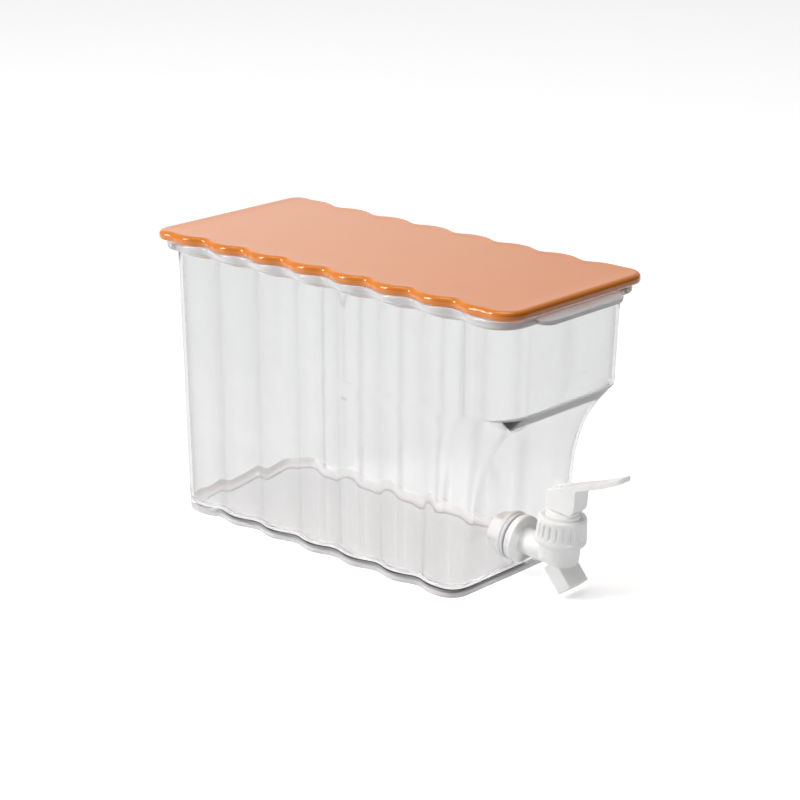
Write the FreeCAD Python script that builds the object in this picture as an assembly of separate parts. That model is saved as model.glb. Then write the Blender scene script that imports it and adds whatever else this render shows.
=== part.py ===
import FreeCAD, Part
import math
import os
from FreeCAD import Vector

# Fluted fridge drink dispenser: clear tank, lift-off lid and a lever tap, in millimetres.
# +X is the tap end, +Z is up, and the origin is the middle of the tank's base.

# tank outline
baseLength = 231.4          # along X, at the table
baseWidth = 110.4           # over the flute crests, at the table
rimHeight = 174.5           # table to the top of the rim
wall = 2.0
sideDraft = 2.7             # how far each wall leans out by the rim
flutePitch = 33.0
fluteDepth = 3.6
fluteCount = 7              # valleys on each long side
firstValley = -81.4         # X of the valley nearest the back
backRadius = 20.0
lowFrontRadius = 13.0
highFrontRadius = 20.0
floorTop = 4.0
floorCorner = 5.0           # how far the rounded floor corner reaches in
floorCornerRise = 6.0       # and how high it climbs

# front wall: a leaning lower panel, a hollow curve outwards, and an upper panel
frontLean = 5.0             # degrees from upright, where the tap sits
leanTop = 54.0
hollowRadius = 88.0
hollowEnd = 42.0            # degrees from upright
shoulderRise = 8.0
shoulderRadius = 7.0
upperLean = 1.6

# rim and grip lug
rimBead = 2.8
beadHeight = 4.6
beadRadius = 14.0           # its plan corners, tighter than the wall's
beadSlope = 1.2             # height of its sloped underside
beadRound = 0.9             # its softened top edge
lugLength = 75.0
lugReach = 10.5
lugThickness = 2.4
lugHeight = 170.3
lugCorner = 5.0

# lid and gasket
lidBottom = 175.5
lidTop = 181.0
lidPlate = 2.4
lidEdge = 2.2
lidOverBack = 4.9
lidOverFront = 6.7
lidOverSide = 5.2
lidBackRadius = 10.0
lidFrontRadius = 14.0
lidRound = 1.5              # softened top edge of the lid
skirtGap = 1.9
skirtWall = 1.8
skirtDepth = 8.0
skirtDraft = 0.4
gasketOver = 0.7            # how far the seal laps past the tank's outer face
gasketSleeveGap = 0.4       # sleeve to the tank's inner face
gasketSkirtGap = 0.05
gasketSleeveEnd = 1.0       # skirt left bare below the sleeve

# tap, in its own frame: x out from the wall, z up, origin on the wall's outer face
tapHeight = 25.0            # hole centre above the table, on the leaning panel
holeDiameter = 16.2
shankDiameter = 15.6
shankBore = 9.0
shankInside = 17.0          # thread length inside the tank
washerThickness = 2.4
washerDiameter = 28.0
flangeThickness = 2.3
flangeDiameter = 29.0
nutFlange = 3.0
nutAcrossFlats = 22.0
nutLength = 12.0
axisOut = 30.5              # wall face to the barrel's axis
barrelDiameter = 24.0
barrelBottom = -3.2
neckDiameter = 21.4
neckBottom = 8.6
neckTop = 20.2
chamberDiameter = 17.0
seatHeight = -2.0
seatBore = 7.0
spoutAngle = 45.0
spoutWidth = 18.0
spoutThickness = 10.6
spoutReach = 42.0           # along the slant, from the frame's origin
collarBottomDiameter = 30.4
collarTopDiameter = 28.2
collarBottom = 9.0
collarTop = 25.0
collarHole = 20.8
ribCount = 22
bonnetDiameter = 20.5
bonnetRim = 26.6
bonnetLand = 28.4
landDiameter = 17.6
lipBottom = 21.0            # clamping lip of the bonnet
lipTop = 22.8
stemLength = 6.0            # keyed neck, along X
stemWidth = 4.6             # keyed neck, along Y
stemClearance = 0.1
pinHeight = 35.0
pinDiameter = 3.0
springWire = 0.9
springDiameter = 9.6
springTurns = 9

# lever
leverWidth = 13.2
leverBack = 21.0
leverFront = 42.0
leverBottom = 28.6
paddleRise = 23.5           # degrees
paddleThickness = 3.2
paddleBend = 59.2
paddleTip = 70.5
tipRise = 29.0              # degrees
slotWidth = 5.2


def tangent(degrees):
    return math.tan(math.radians(degrees))


def save(name, shape):
    os.makedirs("parts", exist_ok=True)
    shape.exportStep("parts/" + name + ".step")


# ---- tank walls ----

def frontProfile():
    """Upright outline of the front wall as (x, z, lean in degrees), from the table to the rim."""
    points = []
    x = baseLength / 2
    for z in (0.0, leanTop / 2, leanTop):
        points.append((x + z * tangent(frontLean), z, frontLean))
    startX = points[-1][0]
    steps = 8
    for i in range(1, steps + 1):
        lean = frontLean + (hollowEnd - frontLean) * i / steps
        dx = hollowRadius * (math.cos(math.radians(frontLean)) - math.cos(math.radians(lean)))
        dz = hollowRadius * (math.sin(math.radians(lean)) - math.sin(math.radians(frontLean)))
        points.append((startX + dx, leanTop + dz, lean))
    x, z, lean = points[-1]
    x += shoulderRise * tangent(hollowEnd)
    z += shoulderRise
    points.append((x, z, hollowEnd))
    steps = 5
    for i in range(1, steps + 1):
        lean = hollowEnd + (upperLean - hollowEnd) * i / steps
        dx = shoulderRadius * (math.cos(math.radians(lean)) - math.cos(math.radians(hollowEnd)))
        dz = shoulderRadius * (math.sin(math.radians(hollowEnd)) - math.sin(math.radians(lean)))
        points.append((x + dx, z + dz, lean))
    x, z, lean = points[-1]
    points.append((x + (rimHeight - z) * tangent(upperLean), rimHeight, upperLean))
    return points


profile = frontProfile()
shoulderTop = profile[-2][1]


def frontAt(height, inset):
    """X of the front wall at a height, moved inwards by a wall measured square to the surface."""
    for (x0, z0, lean0), (x1, z1, lean1) in zip(profile, profile[1:]):
        if height <= z1:
            break
    share = (height - z0) / (z1 - z0)
    lean = lean0 + (lean1 - lean0) * share
    return x0 + (x1 - x0) * share - inset / math.cos(math.radians(lean))


def fluteAt(x, back, front):
    """How far the side steps in at X: a cosine that fades out where a corner begins."""
    depth = fluteDepth * (1 + math.cos(2 * math.pi * (x - firstValley) / flutePitch)) / 2
    room = min(x - back, front - x) / (flutePitch / 2)
    share = max(0.0, min(1.0, room))
    return depth * share * share * (3 - 2 * share)


def sideCurve(back, front, halfWidth, side):
    """Fluted long side: the -Y one runs towards +X and the +Y one runs back again."""
    points = []
    steps = 6 * (fluteCount + 1)
    for i in range(steps + 1):
        share = i / steps if side < 0 else 1 - i / steps
        x = back + (front - back) * share
        points.append(Vector(x, side * (halfWidth - fluteAt(x, back, front)), 0))
    curve = Part.BSplineCurve()
    curve.interpolate(points)
    return curve.toShape()


def cornerArc(x, y, radius, start):
    points = []
    for angle in (start, start + 45, start + 90):
        turn = math.radians(angle)
        points.append(Vector(x + radius * math.cos(turn), y + radius * math.sin(turn), 0))
    return Part.Arc(*points).toShape()


def outline(height, back, front, halfWidth, backCorner, frontCorner):
    """Closed plan outline with two fluted long sides, two straight ends and round corners."""
    left = back + backCorner
    right = front - frontCorner
    farY = halfWidth - frontCorner
    backY = halfWidth - backCorner
    edges = [
        sideCurve(left, right, halfWidth, -1),
        cornerArc(right, -farY, frontCorner, -90),
        Part.makeLine(Vector(front, -farY, 0), Vector(front, farY, 0)),
        cornerArc(right, farY, frontCorner, 0),
        sideCurve(left, right, halfWidth, 1),
        cornerArc(left, backY, backCorner, 90),
        Part.makeLine(Vector(back, backY, 0), Vector(back, -backY, 0)),
        cornerArc(left, -backY, backCorner, 180),
    ]
    wire = Part.Wire(edges)
    wire.translate(Vector(0, 0, height))
    return wire


def tankOutline(height, inset, level=None):
    """Tank outline at a height, stepped in by inset; level places the wire at another Z."""
    share = height / rimHeight
    back = -baseLength / 2 - sideDraft * share + inset
    halfWidth = baseWidth / 2 + sideDraft * share - inset
    blend = max(0.0, min(1.0, (height - leanTop) / (shoulderTop - leanTop)))
    frontCorner = lowFrontRadius + (highFrontRadius - lowFrontRadius) * blend
    level = height if level is None else level
    return outline(level, back, frontAt(height, inset), halfWidth, backRadius - inset, frontCorner - inset)


def rimOutline(grow, level):
    """Outline of the rolled rim, standing proud of the tank's own rim outline by grow."""
    back = -baseLength / 2 - sideDraft - grow
    halfWidth = baseWidth / 2 + sideDraft + grow
    return outline(level, back, frontAt(rimHeight, 0) + grow, halfWidth, beadRadius, beadRadius)


def loft(wires):
    solid = Part.makeLoft(wires, True, True)
    return solid if solid.Volume > 0 else solid.reversed()


def makeContainer():
    heights = [point[1] for point in profile]
    shell = loft([tankOutline(height, 0) for height in heights])
    floorCornerTop = floorTop + floorCornerRise
    inside = [height for height in heights if height > floorCornerTop]
    cavity = [tankOutline(floorTop, wall + floorCorner),
              tankOutline(floorTop + floorCornerRise / 4, wall + floorCorner * 0.3),
              tankOutline(floorCornerTop, wall)]
    cavity += [tankOutline(height, wall) for height in inside]
    cavity.append(tankOutline(rimHeight, wall, rimHeight + 2))
    bead = [rimOutline(grow, rimHeight - beadHeight + rise) for grow, rise in
            ((rimBead / 2, 0), (rimBead, beadSlope), (rimBead, beadHeight - beadRound),
             (rimBead - beadRound, beadHeight))]
    body = shell.fuse(loft(bead)).fuse(makeLug())
    body = body.cut(loft(cavity))
    hole = Part.makeCylinder(holeDiameter / 2, 20, Vector(-10, 0, 0), Vector(1, 0, 0))
    return body.cut(placeTap(hole))


def makeLug():
    """Finger lug under the rim at the tap end, with its outer corners cut back."""
    root = frontAt(rimHeight, 0) - 1.0
    tip = frontAt(rimHeight, 0) + lugReach
    half = lugLength / 2
    points = [(root, -half - 3), (root + lugCorner, -half), (tip - 3, -half), (tip, -half + lugCorner),
              (tip, half - lugCorner), (tip - 3, half), (root + lugCorner, half), (root, half + 3)]
    wire = Part.makePolygon([Vector(x, y, lugHeight) for x, y in points + points[:1]])
    return Part.Face(wire).extrude(Vector(0, 0, lugThickness))


# ---- lid ----

def lidOutline(inset, level):
    back = -baseLength / 2 - sideDraft - lidOverBack + inset
    front = frontAt(rimHeight, 0) + lidOverFront - inset
    halfWidth = baseWidth / 2 + sideDraft + lidOverSide - inset
    return outline(level, back, front, halfWidth, lidBackRadius - inset, lidFrontRadius - inset)


def makeLid():
    plate = loft([lidOutline(lidRound / 2, lidBottom), lidOutline(0, lidBottom + lidRound / 2),
                  lidOutline(0, lidTop - lidRound), lidOutline(lidRound, lidTop)])
    hollow = loft([lidOutline(lidEdge, lidBottom - 1), lidOutline(lidEdge, lidTop - lidPlate)])
    skirtBottom = rimHeight - skirtDepth
    skirtTop = lidTop - lidPlate + 0.4
    outer = wall + skirtGap
    skirt = loft([tankOutline(rimHeight, outer + skirtDraft, skirtBottom),
                  tankOutline(rimHeight, outer, rimHeight), tankOutline(rimHeight, outer, skirtTop)])
    inner = loft([tankOutline(rimHeight, outer + skirtWall, skirtBottom - 1),
                  tankOutline(rimHeight, outer + skirtWall, lidTop - lidPlate)])
    return plate.cut(hollow).fuse(skirt.cut(inner)).removeSplitter()


def makeLidGasket():
    """Silicone seal: a ring squeezed on the rim, with a sleeve that hangs round the lid's skirt."""
    underLid = lidTop - lidPlate
    sleeveOuter = wall + gasketSleeveGap
    sleeveInner = wall + skirtGap - gasketSkirtGap
    sleeveBottom = rimHeight - skirtDepth + gasketSleeveEnd
    ring = loft([tankOutline(rimHeight, -gasketOver, rimHeight), tankOutline(rimHeight, -gasketOver, underLid)])
    sleeve = loft([tankOutline(rimHeight, sleeveOuter, sleeveBottom), tankOutline(rimHeight, sleeveOuter, underLid)])
    hole = loft([tankOutline(rimHeight, sleeveInner, sleeveBottom - 1), tankOutline(rimHeight, sleeveInner, lidTop)])
    return ring.fuse(sleeve).cut(hole)


# ---- tap ----

def placeTap(shape):
    """Turns a shape from the tap's own frame onto the leaning front panel."""
    moved = shape.copy()
    moved.rotate(Vector(0, 0, 0), Vector(0, 1, 0), frontLean)
    moved.translate(Vector(frontAt(tapHeight, 0), 0, tapHeight))
    return moved


def alongShank(diameter, start, end, height=0.0):
    return Part.makeCylinder(diameter / 2, end - start, Vector(start, 0, height), Vector(1, 0, 0))


def upright(diameter, bottom, top):
    return Part.makeCylinder(diameter / 2, top - bottom, Vector(axisOut, 0, bottom))


def taper(lowDiameter, highDiameter, bottom, top):
    return Part.makeCone(lowDiameter / 2, highDiameter / 2, top - bottom, Vector(axisOut, 0, bottom))


def block(x0, x1, width, z0, z1):
    return Part.makeBox(x1 - x0, width, z1 - z0, Vector(x0, -width / 2, z0))


def softened(shape, radius, choose):
    edges = [edge for edge in shape.Edges if choose(edge)]
    return shape.makeFillet(radius, edges)


def slantBar(width, thickness, start, end, shift=0.0):
    """Bar lying along the spout's slant, from start to end along it."""
    bar = Part.makeBox(end - start, width, thickness, Vector(start, -width / 2, -thickness / 2 + shift))
    bar = softened(bar, min(thickness, width) * 0.22, lambda edge: abs(edge.tangentAt(0).x) > 0.9)
    offset = axisOut + barrelBottom - 0.6
    bar.rotate(Vector(0, 0, 0), Vector(0, 1, 0), spoutAngle)
    middle = offset * math.sin(math.radians(spoutAngle))
    rise = Vector(math.sin(math.radians(spoutAngle)), 0, math.cos(math.radians(spoutAngle)))
    bar.translate(rise * middle)
    return bar


def makeTapBody():
    wallStack = washerThickness + flangeThickness
    body = alongShank(shankDiameter, -shankInside, axisOut - 4)
    body = body.fuse(alongShank(flangeDiameter, washerThickness, wallStack))
    barrel = upright(barrelDiameter, barrelBottom, neckBottom)
    heel = slantBar(60, 60, -40, 80, 30 - spoutThickness / 2)
    body = body.fuse(barrel.common(heel)).fuse(upright(neckDiameter, neckBottom, neckTop))
    body = body.fuse(slantBar(spoutWidth, spoutThickness, axisOut * 0.8, spoutReach))
    body = body.cut(upright(chamberDiameter, 1.5, neckTop + 1))
    body = body.cut(taper(11.0, chamberDiameter, seatHeight, 1.5))
    body = body.cut(upright(seatBore, seatHeight - 4.5, seatHeight + 1))
    body = body.cut(slantBar(spoutWidth - 6, spoutThickness - 4.6, 27, spoutReach + 1))
    body = body.cut(alongShank(shankBore, -shankInside - 1, 16))
    return body.cut(alongShank(6.0, 15, 24, 1.5)).removeSplitter()


def makeWasher(start):
    end = start + washerThickness
    return alongShank(washerDiameter, start, end).cut(alongShank(shankDiameter + 0.3, start - 1, end + 1))


def makeLockNut():
    """Flanged hexagon nut that pulls the tap against the wall from inside the tank."""
    seat = -wall - washerThickness
    nut = alongShank(flangeDiameter, seat - nutFlange, seat)
    radius = nutAcrossFlats / math.sqrt(3)
    corners = []
    for i in range(7):
        turn = math.radians(60 * i)
        corners.append(Vector(seat - nutFlange, radius * math.sin(turn), radius * math.cos(turn)))
    flats = Part.Face(Part.makePolygon(corners)).extrude(Vector(nutFlange - nutLength, 0, 0))
    end = seat - nutLength
    chamfer = Part.makeCone(radius - 2.6, radius + 8, 10.6, Vector(end, 0, 0), Vector(1, 0, 0))
    nut = nut.fuse(flats.common(chamfer))
    return nut.cut(alongShank(shankDiameter + 0.3, end - 1, seat + 1)).removeSplitter()


def makeCollarNut():
    """Ribbed screw collar that clamps the bonnet to the barrel."""
    ring = upright(collarBottomDiameter, collarBottom, collarBottom + 3.4)
    grip = taper(collarBottomDiameter - 0.6, collarTopDiameter, collarBottom + 3.4, collarTop - 1.2)
    crown = taper(collarTopDiameter, collarTopDiameter - 2.0, collarTop - 1.2, collarTop)
    nut = ring.fuse(grip).fuse(crown)
    lean = math.degrees(math.atan((collarBottomDiameter - collarTopDiameter - 0.6) / 2 / 11.4))
    for i in range(ribCount):
        groove = Part.makeCylinder(0.95, 11.6, Vector(0, 0, 0))
        groove.rotate(Vector(0, 0, 0), Vector(0, 1, 0), -lean)
        groove.translate(Vector(collarBottomDiameter / 2 + 0.25, 0, collarBottom + 4.4))
        groove.rotate(Vector(0, 0, 0), Vector(0, 0, 1), 360 * i / ribCount)
        groove.translate(Vector(axisOut, 0, 0))
        nut = nut.cut(groove)
    nut = nut.cut(upright(neckDiameter + 0.6, collarBottom - 1, 22.8))
    return nut.cut(upright(collarHole, 20, collarTop + 1))


def makeBonnet():
    """Stem guide under the collar, with the land that the lever rocks on."""
    bonnet = upright(neckDiameter, lipBottom, lipTop).fuse(upright(bonnetDiameter, lipTop, bonnetRim))
    bonnet = bonnet.fuse(taper(landDiameter + 1.2, landDiameter, bonnetRim, bonnetLand))
    bonnet = bonnet.cut(upright(springDiameter + 2.0, 20, 25.6))
    slotX = stemLength / 2 + stemClearance
    return bonnet.cut(block(axisOut - slotX, axisOut + slotX, stemWidth + 2 * stemClearance, 20, 30))


def makeStem():
    """Keyed valve stem: a foot in the seat cup, a flat neck, and an eye for the lever pin."""
    foot = upright(8.4, 1.4, 3.0).fuse(upright(3.6, -0.6, 1.4))
    half = stemLength / 2
    neck = block(axisOut - half, axisOut + half, stemWidth, 2.6, pinHeight)
    eye = Part.makeCylinder(half, stemWidth, Vector(axisOut, -stemWidth / 2, pinHeight), Vector(0, 1, 0))
    return foot.fuse(neck).fuse(eye).cut(crossPin(pinDiameter + 0.1, 20)).removeSplitter()


def crossPin(diameter, length):
    return Part.makeCylinder(diameter / 2, length, Vector(axisOut, -length / 2, pinHeight), Vector(0, 1, 0))


def makeSeatCup():
    """Silicone bell: a lip clamped under the bonnet, a thin bell, and the plug on the valve seat."""
    half = [(4.3, 3.2), (4.3, 1.2), (1.9, 1.2), (1.9, -0.8), (0, -0.8), (0, seatHeight), (4.6, seatHeight),
            (5.6, -0.4), (5.9, 12.0), (7.9, 18.4), (7.9, neckTop), (10.5, neckTop), (10.5, 21.0), (6.6, 21.0),
            (5.1, 12.0), (5.1, 3.2)]
    points = [Vector(axisOut + x, 0, z) for x, z in half + half[:1]]
    face = Part.Face(Part.makePolygon(points))
    return face.revolve(Vector(axisOut, 0, 0), Vector(0, 0, 1), 360)


def makeSpring():
    bottom = 3.2 + springWire / 2
    top = 25.5 - springWire / 2
    pitch = (top - bottom) / springTurns
    helix = Part.makeHelix(pitch, top - bottom, springDiameter / 2 - springWire / 2)
    circle = Part.Circle(Vector(springDiameter / 2 - springWire / 2, 0, 0), Vector(0, 1, 0), springWire / 2)
    spring = Part.Wire(helix.Edges).makePipeShell([Part.Wire(circle.toShape())], True, True)
    spring.translate(Vector(axisOut, 0, bottom))
    return spring


def makeLever():
    """Rocking lever: cheeks around the stem, a round cam foot, and a paddle that bends up."""
    rise = tangent(paddleRise)
    drop = paddleThickness / math.cos(math.radians(paddleRise))
    topBack = 39.3
    topBend = topBack + (paddleBend - leverBack) * rise
    tipTop = topBend + (paddleTip - paddleBend) * tangent(tipRise)
    underFront = topBack + (leverFront - leverBack) * rise - drop
    points = [(leverBack, leverBottom), (leverFront, leverBottom), (leverFront, underFront),
              (paddleBend + 1.0, topBend - drop + 0.4), (paddleTip + 1.4, tipTop - drop + 0.8),
              (paddleTip, tipTop), (paddleBend, topBend), (leverBack, topBack)]
    side = Part.makePolygon([Vector(x, -leverWidth / 2, z) for x, z in points + points[:1]])
    lever = Part.Face(side).extrude(Vector(0, leverWidth, 0))
    camRadius = {leverFront: 4.0, leverBack: 3.0}
    for x, radius in camRadius.items():
        lever = softened(lever, radius, lambda edge: abs(edge.CenterOfMass.x - x) < 0.01
                         and abs(edge.CenterOfMass.z - leverBottom) < 0.01)
    lever = softened(lever, 4.0, lambda edge: edge.Length < 5 and edge.CenterOfMass.x > paddleTip
                     and abs(edge.CenterOfMass.y) > 5)
    lever = lever.cut(block(leverBack - 1, axisOut + 6.4, slotWidth, 20, 39.4))
    lever = lever.cut(block(leverBack - 1, 29.0, slotWidth, 30, 50))
    return lever.cut(crossPin(pinDiameter + 0.06, 20))


def makeAll():
    save("container", makeContainer())
    save("lid", makeLid())
    save("lid_gasket", makeLidGasket())
    tapParts = {
        "tap_body": makeTapBody(),
        "outer_washer": makeWasher(0.0),
        "inner_washer": makeWasher(-wall - washerThickness),
        "lock_nut": makeLockNut(),
        "collar_nut": makeCollarNut(),
        "bonnet": makeBonnet(),
        "valve_stem": makeStem(),
        "seat_cup": makeSeatCup(),
        "return_spring": makeSpring(),
        "lever": makeLever(),
        "lever_pin": crossPin(pinDiameter, leverWidth - 0.4),
    }
    for name, shape in tapParts.items():
        save(name, placeTap(shape))


makeAll()
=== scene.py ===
import bpy
import bmesh
import math
from mathutils import Matrix, Vector


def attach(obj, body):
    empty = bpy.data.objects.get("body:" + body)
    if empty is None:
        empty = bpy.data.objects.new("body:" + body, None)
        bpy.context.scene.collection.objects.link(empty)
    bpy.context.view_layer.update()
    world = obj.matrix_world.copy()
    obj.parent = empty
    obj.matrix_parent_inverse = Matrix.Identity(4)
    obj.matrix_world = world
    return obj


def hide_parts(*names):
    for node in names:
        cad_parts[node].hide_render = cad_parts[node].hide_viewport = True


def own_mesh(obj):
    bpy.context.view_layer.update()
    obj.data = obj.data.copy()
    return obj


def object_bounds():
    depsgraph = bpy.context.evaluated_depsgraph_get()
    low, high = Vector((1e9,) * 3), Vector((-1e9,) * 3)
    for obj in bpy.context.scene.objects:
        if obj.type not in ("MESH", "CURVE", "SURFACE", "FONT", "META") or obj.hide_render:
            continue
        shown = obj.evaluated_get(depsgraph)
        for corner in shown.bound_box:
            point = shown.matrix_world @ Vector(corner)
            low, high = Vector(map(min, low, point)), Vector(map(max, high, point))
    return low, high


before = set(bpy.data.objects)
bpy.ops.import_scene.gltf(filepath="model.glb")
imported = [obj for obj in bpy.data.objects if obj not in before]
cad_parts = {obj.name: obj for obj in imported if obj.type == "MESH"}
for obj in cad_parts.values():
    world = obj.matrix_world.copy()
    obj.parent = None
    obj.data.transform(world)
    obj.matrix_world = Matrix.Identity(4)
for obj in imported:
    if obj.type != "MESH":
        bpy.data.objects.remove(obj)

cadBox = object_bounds()
mm = 0.001
scene = bpy.context.scene


# general mesh helpers

def makeObject(name, verts, faces, smoothAngle=35):
    mesh = bpy.data.meshes.new(name)
    mesh.from_pydata([tuple(v) for v in verts], [], faces)
    mesh.validate()
    work = bmesh.new()
    work.from_mesh(mesh)
    bmesh.ops.recalc_face_normals(work, faces=work.faces)
    work.to_mesh(mesh)
    work.free()
    obj = bpy.data.objects.new(name, mesh)
    scene.collection.objects.link(obj)
    shadeSoft(obj, smoothAngle)
    return obj


def shadeSoft(obj, angle=35):  # smooth faces, with edges sharper than the angle kept crisp
    obj.data.polygons.foreach_set("use_smooth", [True] * len(obj.data.polygons))
    obj.data.set_sharp_from_angle(angle=math.radians(angle))


def bakeModifiers(obj, angle=35):  # turns the modifiers into plain mesh
    depsgraph = bpy.context.evaluated_depsgraph_get()
    mesh = bpy.data.meshes.new_from_object(obj.evaluated_get(depsgraph))
    obj.modifiers.clear()
    obj.data = mesh
    shadeSoft(obj, angle)
    return obj


def combine(obj, other, operation, angle=35):  # boolean, and the other shape is used up
    step = obj.modifiers.new("combine", "BOOLEAN")
    step.operation = operation
    step.solver = "EXACT"
    step.object = other
    bakeModifiers(obj, angle)
    bpy.data.objects.remove(other)
    return obj


def joinShapes(name, shapes):  # loose shells in one object
    work = bmesh.new()
    for shape in shapes:
        work.from_mesh(shape.data)
        bpy.data.objects.remove(shape)
    mesh = bpy.data.meshes.new(name)
    work.to_mesh(mesh)
    work.free()
    obj = bpy.data.objects.new(name, mesh)
    scene.collection.objects.link(obj)
    return obj


def mouldTogether(obj, voxel, softSteps, angle=35):  # one skin with soft moulded edges
    remesh = obj.modifiers.new("skin", "REMESH")
    remesh.mode = "VOXEL"
    remesh.voxel_size = voxel
    remesh.adaptivity = 0.0
    soften = obj.modifiers.new("soften", "SMOOTH")
    soften.factor = 0.5
    soften.iterations = softSteps
    return bakeModifiers(obj, angle)


def roundPath(points, radius, steps=5, closed=False, keep=()):  # rounds a path's corners, but not those in keep
    count = len(points)
    made = []
    for i, point in enumerate(points):
        here = Vector(point)
        if i in keep or (not closed and i in (0, count - 1)):
            made.append(here)
            continue
        before = Vector(points[i - 1]) - here
        after = Vector(points[(i + 1) % count]) - here
        reach = radius[i] if isinstance(radius, (list, tuple)) else radius
        cut = min(reach, before.length * 0.48, after.length * 0.48)
        start = here + before.normalized() * cut
        end = here + after.normalized() * cut
        for k in range(steps + 1):
            t = k / steps
            made.append(start * (1 - t) ** 2 + here * 2 * t * (1 - t) + end * t * t)
    return made


def stackRings(rings, capStart=True, capEnd=True, loop=False):  # quads between rings of equal length
    count = len(rings[0])
    verts = [p for ring in rings for p in ring]
    faces = []
    last = len(rings) if loop else len(rings) - 1
    for r in range(last):
        low, high = r * count, ((r + 1) % len(rings)) * count
        for i in range(count):
            j = (i + 1) % count
            faces.append((low + i, low + j, high + j, high + i))
    if capStart and not loop:
        faces.append(tuple(reversed(range(count))))
    if capEnd and not loop:
        faces.append(tuple(range((len(rings) - 1) * count, len(rings) * count)))
    return verts, faces


def latheUpright(name, profile, centreX, segments=96, angle=35, loop=False):  # profile is (radius, height)
    rings = []
    for radius, height in profile:
        turn = [2 * math.pi * i / segments for i in range(segments)]
        rings.append([Vector((centreX + radius * math.cos(a), radius * math.sin(a), height)) for a in turn])
    verts, faces = stackRings(rings, loop=loop)
    return makeObject(name, verts, faces, angle)


def latheAlong(name, profile, segments=96, angle=35, loop=False):  # profile is (radius, place along X)
    rings = []
    for radius, place in profile:
        turn = [2 * math.pi * i / segments for i in range(segments)]
        rings.append([Vector((place, radius * math.cos(a), radius * math.sin(a))) for a in turn])
    verts, faces = stackRings(rings, loop=loop)
    return makeObject(name, verts, faces, angle)


def scaled(obj, matrix=None):  # shapes are drawn in millimetres, then brought to metres and to their place
    matrix = (matrix or Matrix.Identity(4)) @ Matrix.Scale(mm, 4)
    obj.data.transform(matrix)
    return obj


# material helpers

def nodeGroup(name, inputs, outputs):
    group = bpy.data.node_groups.new(name, "ShaderNodeTree")
    for label, default in inputs:
        socket = group.interface.new_socket(name=label, in_out="INPUT", socket_type="NodeSocketFloat")
        socket.default_value = default
    for label in outputs:
        group.interface.new_socket(name=label, in_out="OUTPUT", socket_type="NodeSocketFloat")
    return group, group.nodes.new("NodeGroupInput"), group.nodes.new("NodeGroupOutput")


def mathNode(tree, operation, first, second=None, third=None):
    node = tree.nodes.new("ShaderNodeMath")
    node.operation = operation
    for slot, value in enumerate((first, second, third)):
        if value is None:
            continue
        if hasattr(value, "links"):
            tree.links.new(value, node.inputs[slot])
        else:
            node.inputs[slot].default_value = value
    return node.outputs[0]


def noiseNode(tree, scale, detail=3.0, stretch=None):
    noise = tree.nodes.new("ShaderNodeTexNoise")
    noise.inputs["Detail"].default_value = detail
    coords = tree.nodes.new("ShaderNodeTexCoord").outputs["Object"]
    if stretch:
        mapping = tree.nodes.new("ShaderNodeMapping")
        mapping.inputs["Scale"].default_value = stretch
        tree.links.new(coords, mapping.inputs["Vector"])
        coords = mapping.outputs["Vector"]
    tree.links.new(coords, noise.inputs["Vector"])
    if hasattr(scale, "links"):
        tree.links.new(scale, noise.inputs["Scale"])
    else:
        noise.inputs["Scale"].default_value = scale
    return noise.outputs["Fac"]


def rangeNode(tree, value, low, high, toLow, toHigh):
    node = tree.nodes.new("ShaderNodeMapRange")
    tree.links.new(value, node.inputs["Value"])
    for label, number in (("From Min", low), ("From Max", high), ("To Min", toLow), ("To Max", toHigh)):
        if hasattr(number, "links"):
            tree.links.new(number, node.inputs[label])
        else:
            node.inputs[label].default_value = number
    return node.outputs["Result"]


def makeMouldGrain():  # soft waviness of moulded plastic and its finer skin
    given = [("Wave Scale", 40.0), ("Skin Scale", 900.0), ("Skin Share", 0.2)]
    group, given, made = nodeGroup("mouldGrain", given, ["Height", "Mottle"])
    wave = noiseNode(group, given.outputs["Wave Scale"], 2.0)
    skin = noiseNode(group, given.outputs["Skin Scale"], 4.0)
    height = mathNode(group, "MULTIPLY_ADD", skin, given.outputs["Skin Share"], wave)
    group.links.new(height, made.inputs["Height"])
    group.links.new(rangeNode(group, wave, 0.3, 0.7, 0.0, 1.0), made.inputs["Mottle"])
    return group


def makeEdgeWear():  # brighter, rougher corners
    group, given, made = nodeGroup("edgeWear", [("Width", 0.06), ("Breakup", 350.0)], ["Mask"])
    bend = group.nodes.new("ShaderNodeNewGeometry").outputs["Pointiness"]
    edge = rangeNode(group, bend, 0.51, mathNode(group, "ADD", 0.51, given.outputs["Width"]), 0.0, 1.0)
    patches = rangeNode(group, noiseNode(group, given.outputs["Breakup"], 5.0), 0.42, 0.62, 0.0, 1.0)
    group.links.new(mathNode(group, "MULTIPLY", edge, patches), made.inputs["Mask"])
    return group


def makeHairlines():  # handling scratches running two ways, and light dust
    group, given, made = nodeGroup("hairlines", [("Density", 0.5)], ["Scratch", "Dust"])
    total = None
    for stretch in ((60.0, 900.0, 900.0), (1100.0, 90.0, 500.0)):
        lines = noiseNode(group, 1.0, 2.0, stretch)
        thin = rangeNode(group, lines, 0.66, 0.72, 0.0, 1.0)
        total = thin if total is None else mathNode(group, "MAXIMUM", total, thin)
    patches = rangeNode(group, noiseNode(group, 25.0, 3.0), 0.45, 0.7, 0.0, 1.0)
    total = mathNode(group, "MULTIPLY", total, patches)
    group.links.new(mathNode(group, "MULTIPLY", total, given.outputs["Density"]), made.inputs["Scratch"])
    specks = rangeNode(group, noiseNode(group, 1500.0, 2.0), 0.68, 0.78, 0.0, 1.0)
    group.links.new(mathNode(group, "MULTIPLY", specks, given.outputs["Density"]), made.inputs["Dust"])
    return group


mouldGrain = makeMouldGrain()
edgeWear = makeEdgeWear()
hairlines = makeHairlines()


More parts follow.
